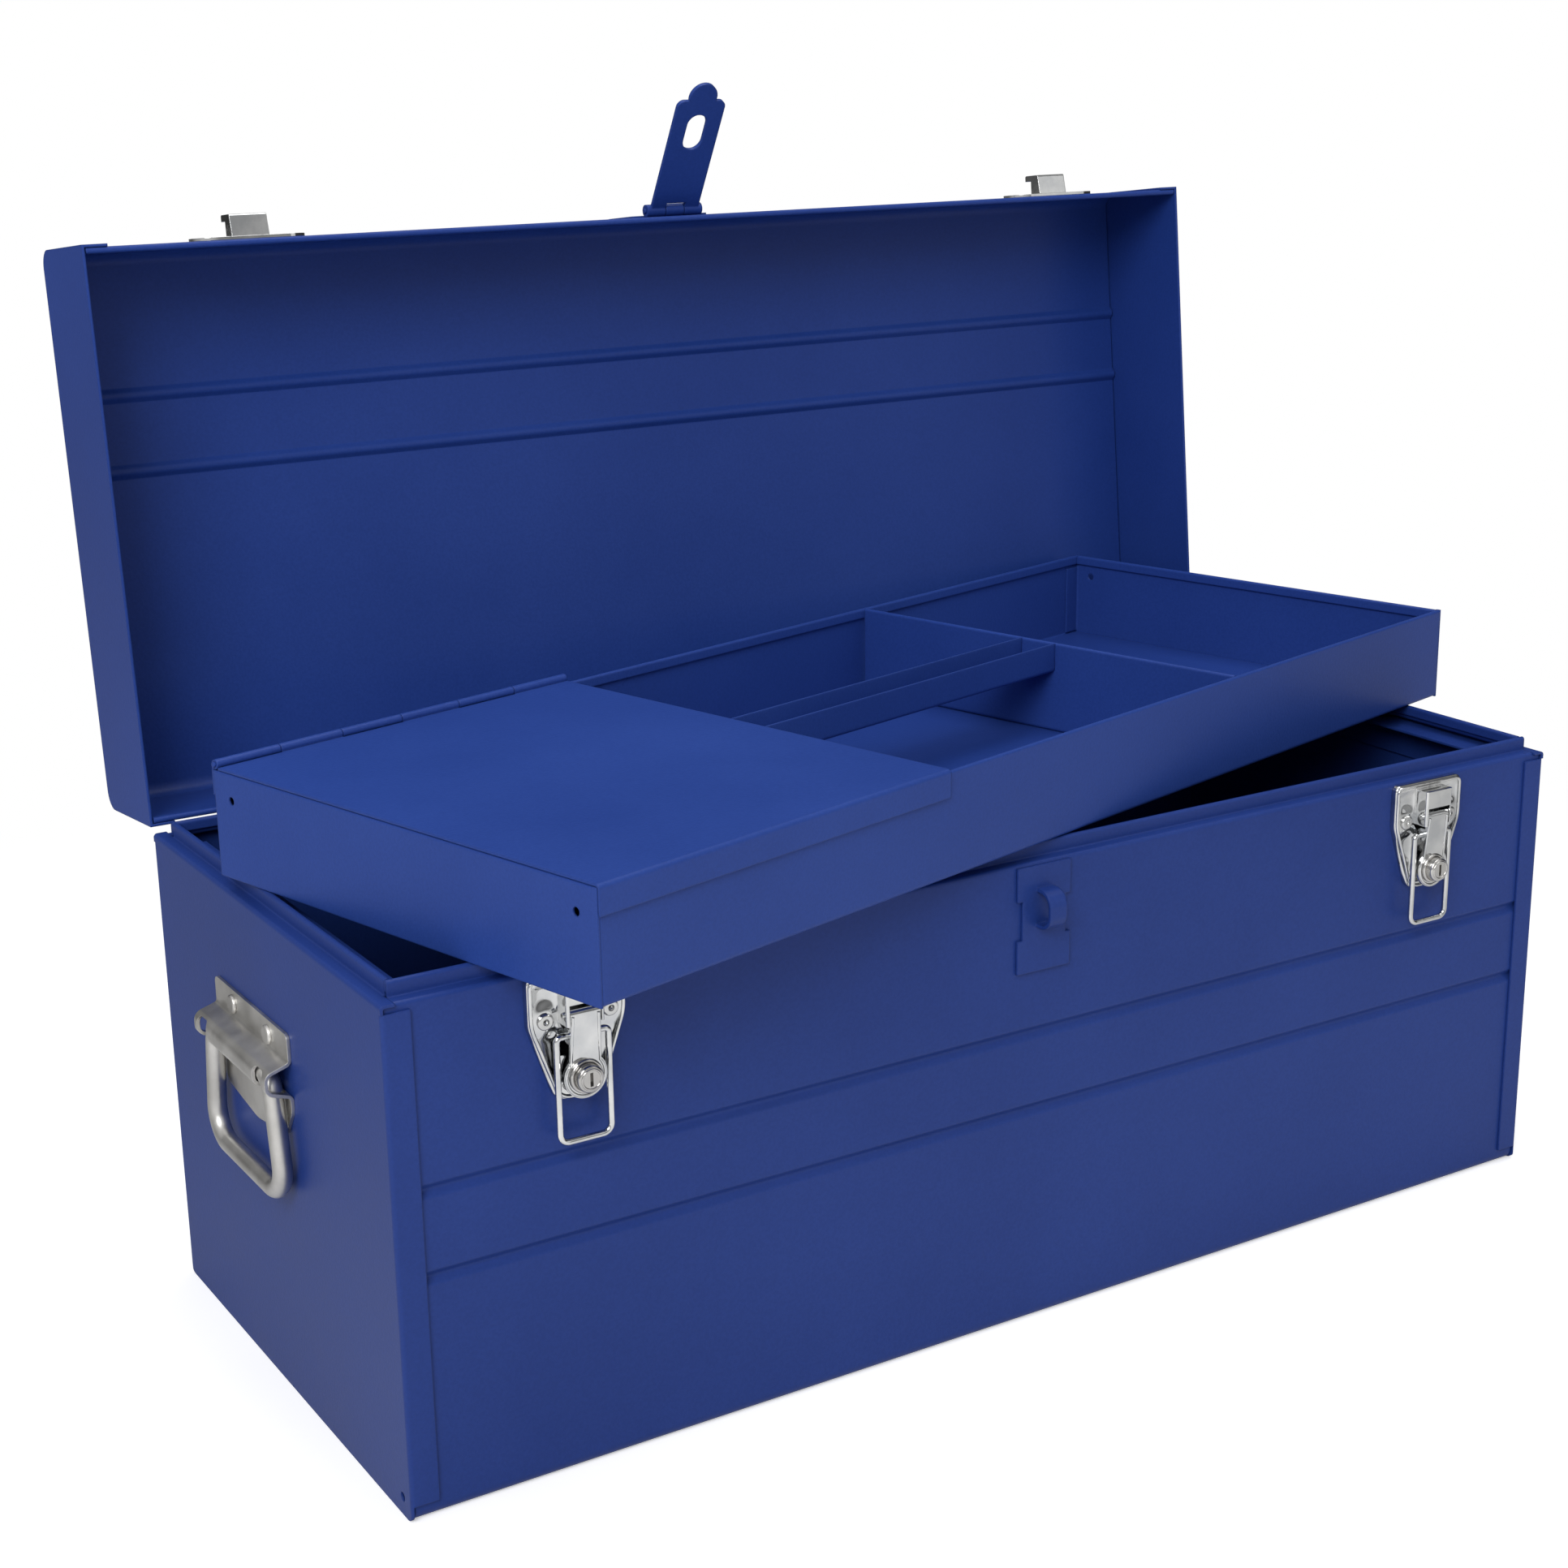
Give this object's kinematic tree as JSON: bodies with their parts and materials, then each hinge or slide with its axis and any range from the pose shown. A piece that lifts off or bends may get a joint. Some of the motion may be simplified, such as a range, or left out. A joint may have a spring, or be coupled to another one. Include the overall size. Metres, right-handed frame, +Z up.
{
  "type": "portable tool box",
  "caption": "Steel hand tool box with a hinged lid standing open, a lift-out tray lying askew on its rim, draw latches, a hasp and swinging end handles.",
  "frame": {"origin": "centre of the flat underside of the box body", "axes": "+X to the right along the length, +Y to the hinged back, +Z up"},
  "size_m": [0.5323, 0.3416, 0.4459],
  "materials": {
    "body_enamel": "satin deep blue powder coat",
    "lid_enamel": "satin deep blue powder coat",
    "tray_enamel": "satin deep blue powder coat",
    "latch_chrome": "bright plated steel",
    "rivet_nickel": "bright plated rivet",
    "lock_nickel": "satin nickel",
    "handle_steel": "satin zinc plated steel"
  },
  "bodies": {
    "base": {"body_shell": "body_enamel", "body_end_left": "body_enamel", "body_end_right": "body_enamel", "tray_ledge_left": "body_enamel", "tray_ledge_right": "body_enamel", "hinge_leaves_body": "body_enamel", "hinge_pins": "body_enamel", "staple": "body_enamel", "latch_plate_left": "latch_chrome", "latch_pin_left": "latch_chrome", "latch_rivets_left": "rivet_nickel", "handle_bracket_left": "handle_steel", "handle_rivets_left": "handle_steel", "latch_plate_right": "latch_chrome", "latch_pin_right": "latch_chrome", "latch_rivets_right": "rivet_nickel", "handle_bracket_right": "handle_steel", "handle_rivets_right": "handle_steel"},
    "lid": {"lid_shell": "lid_enamel", "lid_end_left": "lid_enamel", "lid_end_right": "lid_enamel", "hinge_leaves_lid": "body_enamel", "keeper_left": "latch_chrome", "keeper_right": "latch_chrome", "hasp_leaf": "lid_enamel", "hasp_pin": "lid_enamel"},
    "hasp_strap": {"hasp_strap": "lid_enamel"},
    "tray": {"tray_shell": "tray_enamel", "tray_end_left": "tray_enamel", "tray_end_right": "tray_enamel", "tray_divider_left": "tray_enamel", "tray_divider_right": "tray_enamel", "tray_trough": "tray_enamel", "cover_hinge_leaf": "tray_enamel", "cover_hinge_pin": "tray_enamel"},
    "tray_cover": {"tray_cover": "tray_enamel"},
    "latch_lever_left": {"latch_lever_left": "latch_chrome"},
    "latch_lock_left": {"latch_lock_left": "lock_nickel"},
    "latch_bail_left": {"latch_bail_left": "latch_chrome"},
    "handle_bail_left": {"handle_bail_left": "handle_steel"},
    "latch_lever_right": {"latch_lever_right": "latch_chrome"},
    "latch_lock_right": {"latch_lock_right": "lock_nickel"},
    "latch_bail_right": {"latch_bail_right": "latch_chrome"},
    "handle_bail_right": {"handle_bail_right": "handle_steel"}
  },
  "joints": [
    {"name": "lid_hinge", "type": "hinge", "parent": "base", "child": "lid", "pos_m": [0, 0.1089, 0.18], "axis": [-1, 0, 0], "range_deg": [-95.6, 0]},
    {"name": "tray_takeoff", "type": "slide", "parent": "base", "child": "tray", "axis": [0, -1, 0], "range_m": [0, 0.42]},
    {"name": "tray_cover_hinge", "type": "hinge", "parent": "tray", "child": "tray_cover", "pos_m": [-0.17719, 0.04792, 0.2257], "axis": [-0.9664, -0.2571, 0], "range_deg": [0, 100]},
    {"name": "hasp_hinge", "type": "hinge", "parent": "lid", "child": "hasp_strap", "pos_m": [0, 0.15037, 0.39493], "axis": [1, 0, 0], "range_deg": [-115, 54]},
    {"name": "latch_lever_hinge_left", "type": "hinge", "parent": "base", "child": "latch_lever_left", "pos_m": [-0.188, -0.11245, 0.166], "axis": [1, 0, 0], "range_deg": [-110, 0]},
    {"name": "latch_bail_hinge_left", "type": "hinge", "parent": "latch_lever_left", "child": "latch_bail_left", "pos_m": [-0.188, -0.11165, 0.1584], "axis": [-1, 0, 0], "range_deg": [0, 130]},
    {"name": "latch_lock_turn_left", "type": "hinge", "parent": "latch_lever_left", "child": "latch_lock_left", "pos_m": [-0.188, -0.114, 0.1442], "axis": [0, -1, 0], "range_deg": [0, 90]},
    {"name": "handle_hinge_left", "type": "hinge", "parent": "base", "child": "handle_bail_left", "pos_m": [-0.25905, 0.01, 0.127], "axis": [0, 1, 0], "range_deg": [0, 90]},
    {"name": "latch_lever_hinge_right", "type": "hinge", "parent": "base", "child": "latch_lever_right", "pos_m": [0.188, -0.11245, 0.166], "axis": [1, 0, 0], "range_deg": [-110, 0]},
    {"name": "latch_bail_hinge_right", "type": "hinge", "parent": "latch_lever_right", "child": "latch_bail_right", "pos_m": [0.188, -0.11165, 0.1584], "axis": [-1, 0, 0], "range_deg": [0, 180]},
    {"name": "latch_lock_turn_right", "type": "hinge", "parent": "latch_lever_right", "child": "latch_lock_right", "pos_m": [0.188, -0.114, 0.1442], "axis": [0, -1, 0], "range_deg": [0, 90]},
    {"name": "handle_hinge_right", "type": "hinge", "parent": "base", "child": "handle_bail_right", "pos_m": [0.25905, 0.01, 0.127], "axis": [0, -1, 0], "range_deg": [0, 90]}
  ],
  "couplings": [
    {"joint": "tray_takeoff", "follows": "lid_hinge", "m_per_rad": -0.2515}
  ]
}
